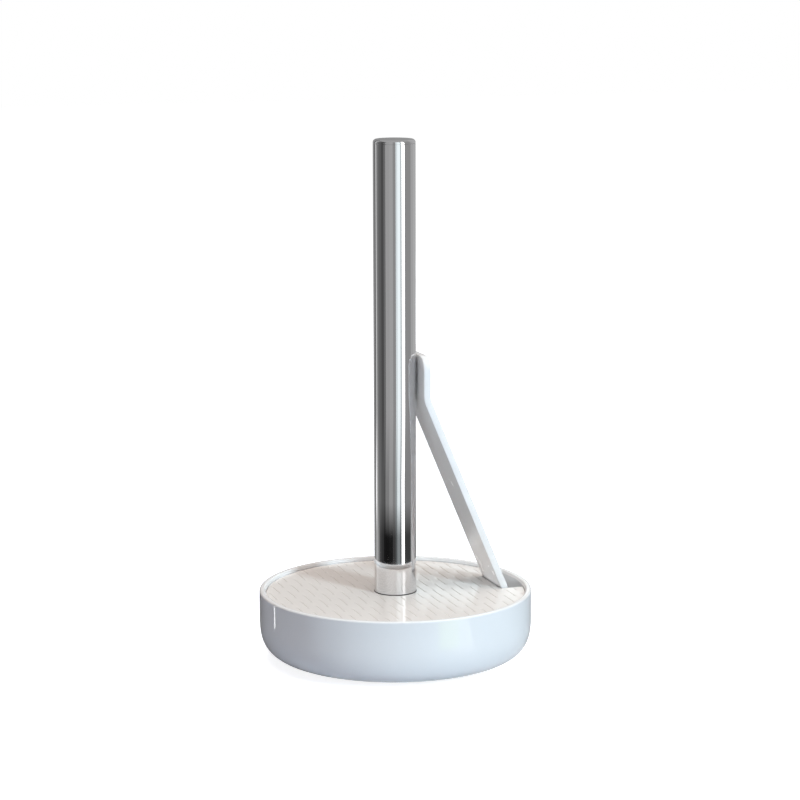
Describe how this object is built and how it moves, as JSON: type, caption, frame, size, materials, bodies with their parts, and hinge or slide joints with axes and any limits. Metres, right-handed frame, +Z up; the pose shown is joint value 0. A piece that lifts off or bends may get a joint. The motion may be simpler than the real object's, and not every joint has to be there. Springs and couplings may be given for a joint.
{
  "type": "freestanding paper towel holder",
  "caption": "Weighted round base with a woven-look top plate, an upright chromed pole for the roll and a sprung arm that presses on the roll.",
  "frame": {"origin": "centre of the base's round footprint, at the underside of the pad that rests on the table", "axes": "+Z up along the pole, +X from the pole toward the tension arm, +Y along the arm's hinge pin"},
  "size_m": [0.176, 0.176, 0.335],
  "materials": {
    "gloss_white": "gloss white",
    "plate_white": "gloss warm white over a basket-weave relief",
    "arm_white": "satin-gloss white",
    "chrome": "polished chrome plate",
    "steel": "plain steel",
    "zinc": "zinc plated",
    "cast_iron": "as cast, blackened",
    "rubber": "matte black",
    "black_plastic": "matte black",
    "natural_plastic": "natural, unfilled"
  },
  "bodies": {
    "base": {"base_shell": "gloss_white", "top_plate": "plate_white", "bottom_cover": "black_plastic", "base_pad": "rubber", "ballast_weight": "cast_iron", "cover_screw_1": "zinc", "cover_screw_2": "zinc", "cover_screw_3": "zinc", "tube": "chrome", "tube_cap": "chrome", "tube_plug": "steel", "tube_gasket": "rubber", "center_bolt": "zinc", "bolt_washer": "zinc", "hinge_pin": "steel", "pin_clip": "steel", "torsion_spring": "steel", "hinge_bracket": "steel", "bracket_screw_1": "zinc", "bracket_screw_2": "zinc"},
    "arm": {"tension_arm": "arm_white", "pivot_bush_front": "natural_plastic", "pivot_bush_back": "natural_plastic"}
  },
  "joints": [
    {"name": "arm_hinge", "type": "hinge", "parent": "base", "child": "arm", "pos_m": [0.07605, 0, 0.027], "axis": [0, 1, 0], "range_deg": [0, 30], "stiffness_Nm_per_rad": 0.6, "springref_deg": -25.21, "deforming": ["torsion_spring"]}
  ]
}
